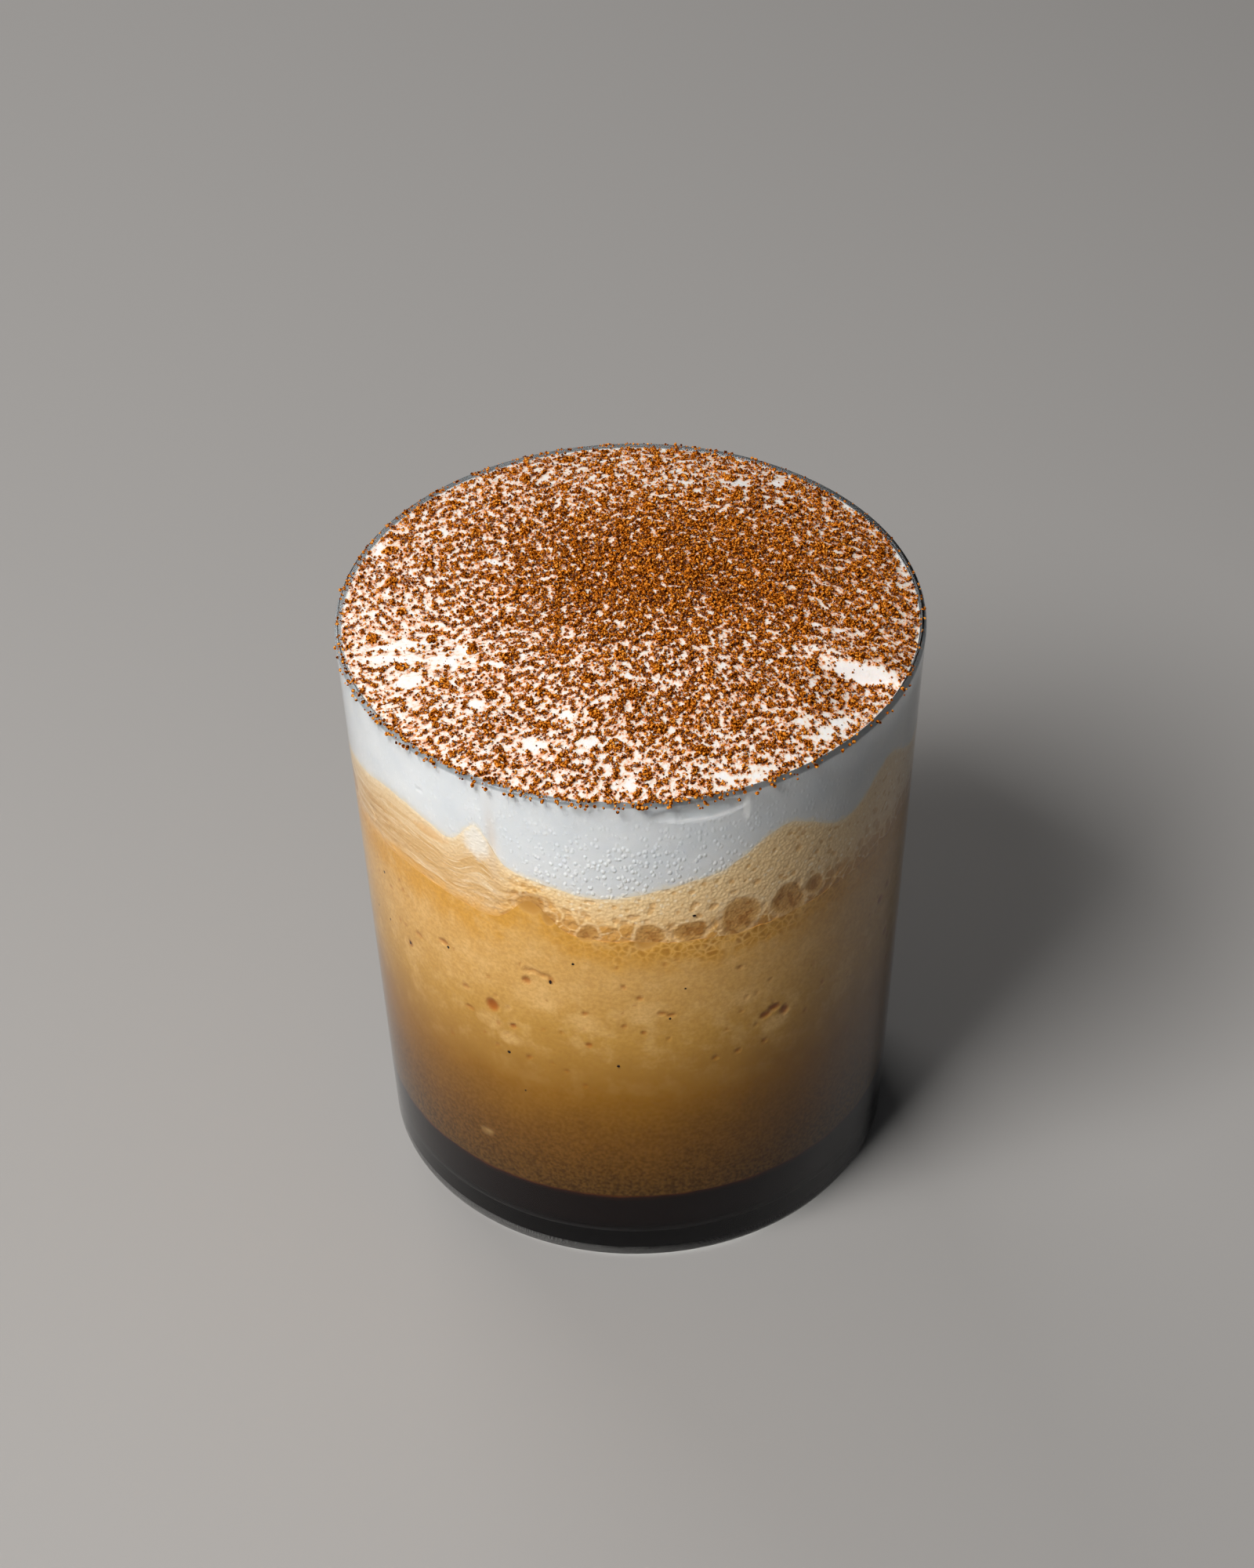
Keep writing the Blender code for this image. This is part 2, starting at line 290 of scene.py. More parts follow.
wall_top = HEIGHT - LIP
heel_side = outer_radius(HEEL)
corner_side = inner_radius(FLOOR + INSIDE_CORNER)
profile = [(PUNT_RADIUS * 0.4, PUNT_DEPTH * 0.95), (PUNT_RADIUS, PUNT_DEPTH * 0.6)]
profile += between(profile[-1], (PUNT_RADIUS + 2 * PUNT_DEPTH, 0), 3)
profile += [(PUNT_RADIUS + 2 * PUNT_DEPTH, 0)]
profile += arc(heel_side - HEEL, HEEL, HEEL, -90, 0, 14)
profile += between((heel_side, HEEL), (RIM_RADIUS, wall_top), 24)
profile += arc(RIM_RADIUS - LIP, wall_top, LIP, 0, 180, 12)
profile += between((inner_radius(wall_top), wall_top), (corner_side, FLOOR + INSIDE_CORNER), 24)
profile += arc(corner_side - INSIDE_CORNER, FLOOR + INSIDE_CORNER, INSIDE_CORNER, 0, -90, 12)
profile += between(profile[-1], (0, FLOOR), 5)
tumbler_points = round_points(*zip(*profile), GLASS_BEARINGS)
tumbler = round_piece("tumbler", tumbler_points, (0, 0, PUNT_DEPTH), (0, 0, FLOOR))

clear = Finish("clear_soda_glass")
smears = clear.noise(9 * MM, detail=3, vector=clear.place((1, 1, 0.45)))
# Painted reflection: the glass is tinted grey in its top 0.8 mm, for the dark line that the rim's glass
# reflects.
painted_rim_line = clear.span(clear.height(), HEIGHT - 0.8 * MM, HEIGHT - 0.35 * MM)
clear.surface(
    Base_Color=clear.mix(painted_rim_line, srgb(252, 254, 254), srgb(150, 156, 160)),
    Roughness=clear.span(smears, 0.45, 0.75, 0.0, 0.03),
    IOR=1.5,
    Specular_Tint=(0.3, 0.3, 0.32, 1),
    Transmission_Weight=1.0,
    Normal=clear.bump(clear.noise(22 * MM, detail=1), 0.04 * MM),
)
lamp_rays = clear.node("LightPath").outputs["Is Shadow Ray"]
through = clear.node("BsdfTransparent", {"Color": (0.97, 0.98, 0.98, 1)}).outputs[0]
glass_mix = clear.node("MixShader", {0: lamp_rays, 1: clear.shader.outputs[0], 2: through})
clear.feed(clear.output, {"Surface": glass_mix.outputs[0]})
dress(tumbler, clear)
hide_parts("tumbler_glass")


# Black coffee
# Cold espresso, poured first on the tumbler's floor. It is nearly black, shows maroon where it is
# thin, and browns where it touches the drink above.
HALF_GAP = 0.15 * MM
COFFEE_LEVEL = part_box("black_coffee")[1].z + HALF_GAP
WALL_BITE = 0.3 * MM


def wet_radius(z):
    """The drink's radius: it reaches just into the wall, so that no air shows between them."""
    return inner_radius(z) + WALL_BITE


bottom = FLOOR - WALL_BITE
corner_z = bottom + INSIDE_CORNER
rows = between((0, bottom), (wet_radius(corner_z) - INSIDE_CORNER, bottom), 5)
rows += arc(wet_radius(corner_z) - INSIDE_CORNER, corner_z, INSIDE_CORNER, -90, 0, 12)
rows += between(rows[-1], (wet_radius(COFFEE_LEVEL), COFFEE_LEVEL), 6)
rows += [(wet_radius(COFFEE_LEVEL), COFFEE_LEVEL)]
rows += between(rows[-1], (0, COFFEE_LEVEL), 5)
coffee_points = round_points(*zip(*rows), GLASS_BEARINGS)
coffee = round_piece("black_coffee_layer", coffee_points, (0, 0, bottom), (0, 0, COFFEE_LEVEL))
espresso = Finish("cold_espresso")
depth = espresso.math("SUBTRACT", COFFEE_LEVEL, espresso.height())
drift = espresso.noise(5 * MM, detail=3, vector=espresso.place(stretch=(1, 1, 2.5)))
blurred = espresso.math("MULTIPLY_ADD", drift, 1.2 * MM, espresso.math("SUBTRACT", depth, 0.6 * MM))
espresso.surface(
    Base_Color=espresso.ramp(
        espresso.span(blurred, -0.2 * MM, 1.3 * MM),
        (0.0, (92, 50, 18)),
        (0.35, (40, 16, 8)),
        (1.0, (14, 4, 3)),
    ),
    Roughness=espresso.span(drift, 0.3, 0.7, 0.10, 0.25),
    Specular_IOR_Level=0.03,
)
dress(coffee, espresso)
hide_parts("black_coffee")


# Blended coffee
# Iced coffee blended with milk, nearly to the top. It is opaque tan, ochre just under the froth, and
# pocked where air and ice crystals touch the wall.
FRAPPE_LEVEL = 68.5 * MM
FRAPPE_WAVES = (
    (-50, 1.6 * MM, 15),
    (-21, 5.5 * MM, 5),
    (20, -1.2 * MM, 22),
    (118, 1.4 * MM, 20),
    (165, -1.0 * MM, 16),
    (228, 1.8 * MM, 18),
)
# Pits seen in front: bearing, height, half width, half height and depth in mm, and darkness, how much
# painted shade fills the pit
FRONT_PITS = (
    (-31.5, 50.3, 1.15, 1.3, 0.28, 1.0),
    (-26.8, 47.3, 0.6, 0.5, 0.3, 0.9),
    (-38.0, 51.7, 0.8, 0.5, 0.2, 0.5),
    (-37.5, 47.6, 0.9, 0.5, 0.2, 0.5),
    (-43.2, 58.6, 1.1, 0.5, 0.3, 0.6),
    (-51.0, 56.3, 0.9, 0.5, 0.2, 0.45),
    (-54.8, 52.6, 0.6, 0.7, 0.3, 0.7),
    (-60.5, 60.9, 0.7, 0.4, 0.2, 0.4),
    (-23.0, 57.8, 0.8, 0.7, 0.3, 0.8),
    (-21.8, 60.0, 1.5, 0.45, 0.25, 0.35),
    (-19.0, 59.6, 1.2, 0.45, 0.25, 0.4),
    (-17.6, 58.8, 0.5, 0.7, 0.25, 0.6),
    (-23.5, 41.7, 0.5, 0.4, 0.2, 0.6),
    (-10.2, 46.6, 0.6, 0.5, 0.2, 0.75),
    (-10.8, 53.1, 0.5, 0.45, 0.2, 0.65),
    (-2.7, 59.0, 0.4, 0.4, 0.2, 0.6),
    (0.5, 56.7, 0.5, 0.5, 0.2, 0.6),
    (-2.8, 50.9, 0.5, 0.4, 0.2, 0.6),
    (1.2, 49.6, 0.45, 0.4, 0.2, 0.6),
    (5.0, 53.4, 0.9, 0.4, 0.2, 0.55),
    (6.8, 52.9, 0.8, 0.4, 0.2, 0.6),
    (27.5, 48.5, 1.0, 0.6, 0.3, 0.85),
    (29.6, 49.4, 1.1, 0.7, 0.3, 0.9),
    (32.1, 48.0, 0.8, 1.0, 0.3, 0.85),
    (27.5, 43.1, 0.5, 0.4, 0.2, 0.5),
    (21.3, 42.8, 0.5, 0.45, 0.2, 0.5),
    (16.3, 42.5, 0.45, 0.4, 0.2, 0.5),
)
# Pale patches where milk foam is folded in: bearing, height, half width and half height in mm
PALE_PATCHES = (
    (-21, 55.2, 5.2, 3.8),
    (-32.5, 46.8, 3.4, 2.2),
    (-27.5, 44.5, 3.0, 2.0),
    (-11, 51.0, 4.4, 2.8),
    (1, 54.0, 4.0, 3.0),
    (23, 53.9, 3.6, 2.6),
    (-36, 21.5, 2.5, 0.8),
    (30, 46.0, 3.6, 2.2),
)
BACK_PITS = 46
BACK_PIT_DEPTH = 0.28
SMALL_PITS = 150
SMALL_PIT_DEPTH = 0.15
PIT_HEIGHT = 52
# How far the upper edge strays, and the level and the span of the noise that it follows
FRAPPE_RAGGED = (0.3 * MM, 0.0, 3.5 * MM)
# Rows of the side: few up to this share of its height, where it is plain, and many above
PLAIN_SHARE = 0.42
PLAIN_ROWS = 22
PITTED_ROWS = 90
# Bearings of the drink's layers in degrees, closer in front, and the rows that close a layer's ends
FRONT_HALF = 80
FRONT_STEP = 0.45
BACK_STEP = 1.1
FLAT_ROWS = 4
front = np.arange(-FRONT_HALF, FRONT_HALF, FRONT_STEP)
rest = np.arange(FRONT_HALF, 360 - FRONT_HALF, BACK_STEP)
BEARINGS = np.concatenate([front, rest])
draw = random.Random(11)


def apart(bearing, centre):
    """The angle from a centre to a bearing, -180 to 180 degrees."""
    return (bearing - centre + 180) % 360 - 180


def waves_at(bearing, waves):
    """How far a layer's edge rises at a bearing. Each wave has a bearing, a height and a half width."""
    return sum(rise * hump(bearing, centre, width) for centre, rise, width in waves)


def way_round(bearings, centre):
    """The way along the wall from a centre to bearings, in metres."""
    return apart(bearings, centre) * math.radians(1) * RIM_RADIUS


def ragged(rise, level, size):
    """An uneven rise round the wall, from noise at a level, with features of a real size in metres."""
    points = round_points([RIM_RADIUS], [level], BEARINGS)[0] / size
    return rise * np.array([noise.fractal(Vector(p), 1.0, 2.0, 2) for p in points.tolist()])


def patch(z, centre, level, wide, tall):
    """How far out of an oval patch of the wall each point is: 0 in its middle, 1 on its edge. In mm."""
    across = way_round(BEARINGS, centre) / MM
    return (across / wide) ** 2 + ((z / MM - level) / tall) ** 2


def oval(z, *place):
    """1 in the middle of an oval patch of the wall, falling to 0 on its edge."""
    return np.clip(1 - patch(z, *place), 0, 1)


def hump(bearing, centre, width):
    """1 at a centre, falling away on both sides. The width is where it has dropped to about a third."""
    return np.exp(-((apart(bearing, centre) / width) ** 2))


def side_heights(low, high, shares):
    """Heights of a layer's side: rows at shares of the way from its lower edge to its upper one."""
    return low + (high - low) * shares[:, None]


def lid(edge, shares):
    """Rows that close a layer, at shares of the way out to its edge, and level in the middle."""
    heights = edge.mean() + (edge - edge.mean()) * shares**2
    return round_points(wet_radius(edge) * shares, heights, BEARINGS)


def pour(name, side_z, dents, top=None, end=None):
    """A layer of the drink from the grid of its side, closed below and, unless a top is given, above."""
    low, high = side_z[0], side_z[-1]
    shares = np.linspace(0, 1, FLAT_ROWS + 2)[1:-1][:, None]
    side = round_points(wet_radius(side_z) - dents, side_z, BEARINGS)
    if top is None:
        top = lid(high, shares[::-1])
        end = (0, 0, high.mean())
    points = np.concatenate([lid(low, shares), side, top])
    return round_piece(name, points, (0, 0, low.mean()), end)


def store(piece, name, values):
    """Stores a number for each point of a piece, for its material to read."""
    field = piece.data.attributes.new(name, "FLOAT", "POINT")
    field.data.foreach_set("value", values.astype(np.float32))


def paint(piece, rows, **fields):
    """Stores numbers for a layer's side of so many rows. The rows below and above repeat its edges."""
    above = (len(piece.data.vertices) - 2) // len(BEARINGS) - FLAT_ROWS - rows
    for name, values in fields.items():
        side = np.broadcast_to(values, (rows, len(BEARINGS)))
        below = np.repeat(side[:1], FLAT_ROWS, 0)
        grid = np.concatenate([below, side, np.repeat(side[-1:], above, 0)])
        store(piece, name, np.append(grid.reshape(-1), (0, 0)))


low_edge = np.full(len(BEARINGS), COFFEE_LEVEL)
frappe_top = FRAPPE_LEVEL + waves_at(BEARINGS, FRAPPE_WAVES) + ragged(*FRAPPE_RAGGED)
plain_rows = np.linspace(0, PLAIN_SHARE, PLAIN_ROWS)
pitted_rows = np.linspace(PLAIN_SHARE, 1, PITTED_ROWS)[1:]
side_z = side_heights(low_edge, frappe_top, np.concatenate([plain_rows, pitted_rows]))
pits = list(FRONT_PITS)
for k in range(BACK_PITS):
    size = draw.uniform(0.5, 0.9) * (1.8 if draw.random() < 0.1 else 1.0)
    spot = (draw.uniform(62, 288), draw.gauss(PIT_HEIGHT, 7), size, size * draw.uniform(0.6, 1.1))
    pits.append((*spot, BACK_PIT_DEPTH, draw.uniform(0.5, 0.95)))
for k in range(SMALL_PITS):
    size = draw.uniform(0.28, 0.45)
    spot = (draw.uniform(0, 360), draw.gauss(PIT_HEIGHT, 8), size, size)
    pits.append((*spot, SMALL_PIT_DEPTH, draw.uniform(0.15, 0.5)))
pit_dent = np.zeros(side_z.shape)
pit_painted_shade = np.zeros(side_z.shape)
for centre, level, wide, tall, deep, darkness in pits:
    away = patch(side_z, centre, level, wide, tall)
    pit_dent = np.maximum(pit_dent, deep * MM * np.clip(1 - away, 0, 1) ** 0.6)
    pit_painted_shade = np.maximum(pit_painted_shade, darkness * np.clip(1.3 - away, 0, 1) ** 0.8)
pale = np.max([oval(side_z, *place) for place in PALE_PATCHES], axis=0)

# The froth's big bubbles dent this layer too. Those in front: bearing, height and radius
FRONT_BUBBLES = (
    (-63, 70.6 * MM, 1.2 * MM),
    (-56, 71.5 * MM, 1.3 * MM),
    (-21, 73.3 * MM, 2.3 * MM),
    (-17.3, 71.4 * MM, 1.4 * MM),
    (-9.5, 69.4 * MM, 1.8 * MM),
    (2.5, 69.0 * MM, 2.6 * MM),
    (10.8, 69.3 * MM, 2.5 * MM),
    (21, 70.5 * MM, 3.6 * MM),
    (31.7, 70.5 * MM, 3.2 * MM),
    (38.2, 71.0 * MM, 1.9 * MM),
)
BACK_BUBBLES = 9
BACK_BUBBLE_ARC = (68, 292)
# A bubble's depth as a share of its radius, and at most
BUBBLE_DEPTH = 0.13
BUBBLE_LIMIT = 0.2 * MM
# How uneven a bubble's outline is: its bulges twice and three times round, as shares of its radius
BUBBLE_OVAL = 0.11
BUBBLE_CORNERS = 0.08
BUBBLE_SEED = 7


def blow(z, bubbles):
    """How deep bubbles dent a side, and how far inside one a point is: 1 in the middle, 0 on the edge."""
    dent = np.zeros(z.shape)
    inside = np.full(z.shape, -1.0)
    for centre, level, radius in bubbles:
        columns = np.nonzero(np.abs(apart(BEARINGS, centre)) < math.degrees(radius / RIM_RADIUS) + 2)[0]
        across = way_round(BEARINGS[columns], centre)
        up = z[:, columns] - level
        turn = np.arctan2(up, across)
        uneven = BUBBLE_OVAL * np.sin(2 * turn + centre)
        away = np.hypot(across, up) * (1 + uneven + BUBBLE_CORNERS * np.sin(3 * turn + 2 * centre))
        dish = min(BUBBLE_DEPTH * radius, BUBBLE_LIMIT) * np.clip(1 - (away / radius) ** 2, 0, 1)
        dent[:, columns] = np.maximum(dent[:, columns], dish)
        inside[:, columns] = np.maximum(inside[:, columns], 1 - away / radius)
    return dent, inside


bubble_draw = random.Random(BUBBLE_SEED)
big_bubbles = list(FRONT_BUBBLES)
arc_start, arc_end = BACK_BUBBLE_ARC
for k in range(BACK_BUBBLES):
    bearing = arc_start + (arc_end - arc_start) * (k + bubble_draw.uniform(0.2, 0.8)) / BACK_BUBBLES
    radius = bubble_draw.uniform(1.3, 2.5) * MM
    foot = FRAPPE_LEVEL + waves_at(bearing, FRAPPE_WAVES)
    big_bubbles.append((bearing, foot + radius + 0.9 * MM, radius))
bubble_dent, bubble_inside = blow(side_z, big_bubbles)
frappe = pour("blended_coffee_layer", side_z, np.maximum(pit_dent, bubble_dent))
paint(
    frappe,
    len(side_z),
    pit=pit_painted_shade,
    pale_foam=pale,
    bubble=bubble_inside,
    under_froth=(frappe_top - side_z) / MM,
    bubbly=hump(BEARINGS, 18, 30),
)

# From a bubble's edge to its middle
BUBBLE_COLOURS = ((0.0, (210, 168, 104)), (0.35, (192, 144, 72)), (1.0, (184, 134, 60)))
slush = Finish("blended_iced_coffee")
mottle = slush.noise(7 * MM, detail=3, roughness=0.55)
# Darker towards the bottom: partly the drink's own darker, settled coffee, and partly painted shade where
# the light falls off down the wall.
drifted = slush.math("MULTIPLY_ADD", mottle, 7 * MM, slush.height())
slush.colour = slush.ramp(
    slush.span(drifted, 13.5 * MM, 73.5 * MM),
    (0.0, (58, 36, 2)),
    (0.07, (88, 55, 3)),
    (0.16, (108, 69, 6)),
    (0.38, (145, 99, 18)),
    (0.7, (194, 151, 72)),
    (0.93, (214, 172, 102)),
    (1.0, (214, 170, 96)),
)
ochre_edge = slush.sway(slush.attribute("under_froth"), 4 * MM, 5.0, detail=3)
slush.wash(slush.span(ochre_edge, 4.5, 9.5, 0.92, 0.0), (212, 160, 66))
cloud = slush.noise(3.6 * MM, detail=3, roughness=0.6)
upper_part = slush.span(slush.height(), 30 * MM, 56 * MM)
cloud = slush.times(slush.span(cloud, 0.45, 0.7, 0.0, 0.4), upper_part)
slush.wash(cloud, (232, 196, 134))
foamy = slush.times(slush.attribute("pale_foam"), slush.noise(3 * MM, detail=3))
slush.wash(slush.span(foamy, 0.05, 0.55, 0.0, 0.6), (228, 190, 126))
grain = slush.noise(0.6 * MM, roughness=0.6)
slush.wash(slush.span(grain, 0.3, 0.7, 0.3, 0.0), (160, 112, 46))
fizz_wall = slush.cells(1.25 * MM, feature="DISTANCE_TO_EDGE")
fizz_reach = slush.times(slush.span(ochre_edge, 4.0, 7.5, 1.0, 0.0), slush.attribute("bubbly"))
fizz = slush.times(slush.span(fizz_wall, 0.1, 0.28, 0.0, 0.75), fizz_reach)
fizz = slush.times(fizz, slush.span(slush.noise(2.2 * MM), 0.36, 0.5))
slush.wash(fizz, (166, 112, 34))
fizz_line = slush.times(slush.span(fizz_wall, 0.02, 0.1, 0.5, 0.0), fizz_reach)
slush.wash(fizz_line, (234, 190, 112))
# Painted shade: the pits are washed darker amber, as shade in the hollows.
slush.wash(slush.times(slush.attribute("pit"), 0.9), (158, 82, 4))
in_bubble = slush.span(slush.attribute("bubble"), 0.0, 0.3, 0.0, 0.9)
slush.colour = slush.mix(in_bubble, slush.colour, slush.ramp(slush.attribute("bubble"), *BUBBLE_COLOURS))
slush.surface(
    Base_Color=slush.colour,
    Roughness=slush.span(mottle, 0.3, 0.7, 0.45, 0.6),
    Specular_IOR_Level=0.05,
    Normal=slush.bump(slush.noise(1.6 * MM), 0.05 * MM),
)
dress(frappe, slush)
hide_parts("blended_coffee")


# Coffee specks
# Bits of ground coffee bean blended into the drink. They lie in its skin, where the wall shows them.
# Those in front: bearing, height, half width and half height in mm
FRONT_SPECKS = (
    (-12.8, 63.0, 0.28, 0.26),
    (-17.8, 58.5, 0.24, 0.45),
    (-42.0, 58.0, 0.34, 0.3),
    (-54.9, 52.7, 0.24, 0.3),
    (-28.3, 41.4, 0.32, 0.3),
    (-4.2, 42.6, 0.27, 0.3),
    (6.6, 52.2, 0.22, 0.24),
    (11.5, 72.4, 0.3, 0.24),
    (9.8, 58.0, 0.2, 0.2),
    (-25.0, 34.2, 0.2, 0.2),
)
BACK_SPECKS = 34
SPECK_SINK = 0.05 * MM
SPECK_DEPTH = 0.2 * MM


def crumbs(name, places, sides, jag, seed):
    """Irregular grains of 4, 8 or 20 sides in one mesh. Each place is (middle, half sizes, turn).

    The jag is how far a grain's corners stray. Each grain is tumbled at random, then sized and turned.
    """
    golden = (1 + math.sqrt(5)) / 2
    if sides == 4:
        shape = np.array([(1, 1, 1), (-1, -1, 1), (-1, 1, -1), (1, -1, -1)], float) / math.sqrt(3)
        reach = 1.8
    elif sides == 8:
        shape = np.array([(1, 0, 0), (-1, 0, 0), (0, 1, 0), (0, -1, 0), (0, 0, 1), (0, 0, -1)], float)
        reach = 1.5
    else:
        corners = [(0, a, b * golden) for a in (1, -1) for b in (1, -1)]
        shape = np.array([p[k:] + p[:k] for p in corners for k in range(3)], float)
        shape /= np.linalg.norm(shape[0])
        reach = 1.1
    near = np.linalg.norm(shape[:, None] - shape, axis=2) < reach
    trios = [(a, b, c) for a in range(len(shape)) for b in range(a) for c in range(b)]
    trios = [(a, b, c) for a, b, c in trios if near[a, b] and near[b, c] and near[a, c]]
    outward = [np.linalg.det(shape[list(trio)]) > 0 for trio in trios]
    trios = [(a, b, c) if out else (a, c, b) for (a, b, c), out in zip(trios, outward)]
    pick = np.random.default_rng(seed)
    middles, sizes, turns = (np.array(values, float) for values in zip(*places))
    count = len(middles)
    verts = shape * (1 + pick.uniform(-jag, jag, (count, len(shape), 1)))
    tumble = pick.normal(size=(count, 4))
    w, x, y, z = (tumble / np.linalg.norm(tumble, axis=1)[:, None]).T
    spin = np.array(
        [
            [1 - 2 * (y * y + z * z), 2 * (x * y - z * w), 2 * (x * z + y * w)],
            [2 * (x * y + z * w), 1 - 2 * (x * x + z * z), 2 * (y * z - x * w)],
            [2 * (x * z - y * w), 2 * (y * z + x * w), 1 - 2 * (x * x + y * y)],
        ]
    )
    verts = np.einsum("ijn,nkj->nki", spin, verts) * sizes[:, None, :]
    cos, sin = np.cos(turns)[:, None], np.sin(turns)[:, None]
    east = verts[..., 0] * cos - verts[..., 1] * sin
    north = verts[..., 0] * sin + verts[..., 1] * cos
    verts = np.stack([east, north, verts[..., 2]], axis=-1) + middles[:, None, :]
    faces = (np.arange(count)[:, None, None] * len(shape) + np.array(trios)).reshape(-1, 3)
    return add_piece(name, verts.reshape(-1, 3).tolist(), faces.tolist())


specks = list(FRONT_SPECKS)
for k in range(BACK_SPECKS):
    size = draw.uniform(0.16, 0.34)
    specks.append((draw.uniform(60, 300), draw.gauss(54, 9), size, size * draw.uniform(0.8, 1.6)))
speck_places = []
for bearing, z, wide, tall in specks:
    angle = math.radians(bearing)
    r = wet_radius(z * MM) - SPECK_SINK
    middle = (r * math.sin(angle), -r * math.cos(angle), z * MM)
    speck_places.append((middle, (wide * MM, SPECK_DEPTH, tall * MM), angle))
bean_specks = crumbs("bean_specks", speck_places, 20, 0.2, seed=3)
bean = Finish("ground_coffee_bean")
bean_tone = bean.noise(0.3 * MM)
bean.surface(
    Base_Color=bean.ramp(bean_tone, (0.3, (14, 7, 4)), (0.8, (38, 18, 8))),
    Roughness=0.8,
    Specular_IOR_Level=0.05,
)
dress(bean_specks, bean)


# Froth
# Milk froth that rose off the blended coffee and mixed with the cream. Big bubbles press flat
# against the wall along its foot, and on the left the two are folded into each other in streaks.
FROTH_LEVEL = 79.5 * MM
FROTH_WAVES = (
    (-84, -2.4 * MM, 10),
    (-52, 3.2 * MM, 14),
    (-32, 6.0 * MM, 4),
    (-7, -2.9 * MM, 14),
    (30.5, 6.0 * MM, 10),
    (60, 5.6 * MM, 9),
    (125, -1.8 * MM, 16),
    (172, 2.8 * MM, 15),
    (222, -1.6 * MM, 14),
)
FROTH_RAGGED = (0.25 * MM, 0.02, 2.4 * MM)
FROTH_ROWS = 46
SMALL_BUBBLES = 1500
SMALL_BUBBLE_DEPTH = 1.8
# Bearings of the streaks on the left, with their half width and how softly they end
SWIRL_MIDDLE = -50
SWIRL_HALF = 27
SWIRL_FADE = 6
# A white lobe that hangs from the cream, the crease beside it and an ochre spot in the streaks
LOBE_BEARING = -31.5
LOBE_FOOT = 77.5 * MM
CREASE_BEARING = -28.5
OCHRE_SPOT = (-43.5, 80.0, 4.8, 1.3)


def crease_at(z, width, level, tall):
    """The narrow crease beside the white lobe, 1 in its middle. It runs up into the cream."""
    return np.exp(-((apart(BEARINGS, CREASE_BEARING) / width) ** 2) - ((z - level) / tall) ** 2)


froth_top = FROTH_LEVEL + waves_at(BEARINGS, FROTH_WAVES) + ragged(*FROTH_RAGGED)
froth_shares = np.linspace(0, 1, FROTH_ROWS)
side_z = side_heights(frappe_top, froth_top, froth_shares)
swirl = np.clip((SWIRL_HALF - np.abs(apart(BEARINGS, SWIRL_MIDDLE))) / SWIRL_FADE, 0, 1)
# Small bubbles crowd towards the froth's foot, and most of those in the streaks are left out
small_bubbles = []
for k in range(SMALL_BUBBLES):
    bearing = draw.uniform(-180, 180)
    share = draw.random() ** 2.1 * 1.04 - 0.04
    if draw.random() < np.interp(bearing, BEARINGS, swirl, period=360) * 0.9:
        continue
    foot, rim = (np.interp(bearing, BEARINGS, edge, period=360) for edge in (frappe_top, froth_top))
    size = draw.triangular(0.35, 1.25, 0.45) * (1 - 0.5 * share) * MM
    small_bubbles.append((bearing, foot + (rim - foot) * share, size))
bubble_dent, bubble_inside = blow(side_z, big_bubbles)
small_dent, small_inside = blow(side_z, small_bubbles)
froth = pour("froth_layer", side_z, np.maximum(bubble_dent, SMALL_BUBBLE_DEPTH * small_dent))
paint(
    froth,
    FROTH_ROWS,
    bubble=bubble_inside,
    small_bubble=small_inside,
    over_frappe=(side_z - frappe_top) / MM,
    under_cream=(froth_top - side_z) / MM,
    share=froth_shares[:, None],
    round=way_round(BEARINGS, 0) / MM,
    swirl=swirl,
    white_lobe=hump(BEARINGS, LOBE_BEARING, 4.6) * np.clip((side_z - LOBE_FOOT) / (4 * MM), 0, 1),
    crease=crease_at(side_z, 1.1, 81 * MM, 5 * MM),
    ochre_spot=oval(side_z, *OCHRE_SPOT),
)

foam = Finish("milk_froth")
foam_tone = foam.noise(2.4 * MM, detail=3)
# Colour from the foot up, then pebbly cells, bubbles and the bubbles' rings
climb = foam.math("MULTIPLY_ADD", foam_tone, 3.5, foam.attribute("over_frappe"))
foam.colour = foam.ramp(
    foam.span(climb, 1.2, 8.5),
    (0.0, (214, 160, 72)),
    (0.25, (218, 170, 96)),
    (0.55, (236, 204, 150)),
    (1.0, (238, 210, 162)),
)
pebble = foam.span(foam.cells(1.0 * MM), 0.15, 0.4, 1.0, 0.0)
pebble = foam.times(pebble, foam.span(foam.noise(1.8 * MM), 0.4, 0.6))
foam.wash(foam.times(pebble, 0.75), (253, 240, 214))
fine = foam.cells(0.55 * MM)
foam.wash(foam.span(fine, 0.2, 0.7, 0.0, 0.2), (196, 150, 92))
cell_wall = foam.cells(2.4 * MM, feature="DISTANCE_TO_EDGE")
cell_band = foam.span(foam.attribute("over_frappe"), 2.5, 5.0, 0.75, 0.0)
cell_inside = foam.times(foam.span(cell_wall, 0.03, 0.16), cell_band)
cell_line = foam.times(foam.span(cell_wall, 0.0, 0.09, 1.0, 0.0), cell_band)
foam.wash(cell_line, (240, 208, 150))
foam.wash(cell_inside, (204, 152, 74))
ringed = foam.span(foam.attribute("small_bubble"), -0.02, 0.45, 0.0, 0.6)
foam.wash(ringed, (206, 158, 92))
edge_glow = foam.span(foam.attribute("bubble"), -0.3, -0.04, 0.0, 0.35)
foam.wash(edge_glow, (246, 222, 180))
in_bubble = foam.attribute("bubble")
bubble_colour = foam.ramp(in_bubble, *BUBBLE_COLOURS)
foam.colour = foam.mix(foam.span(in_bubble, -0.04, 0.2, 0.0, 0.85), foam.colour, bubble_colour)
blotch = foam.span(foam.noise(1.5 * MM, detail=3), 0.46, 0.62, 0.0, 0.75)
blotch = foam.times(blotch, foam.span(in_bubble, 0.0, 0.3))
foam.wash(blotch, (158, 106, 44))

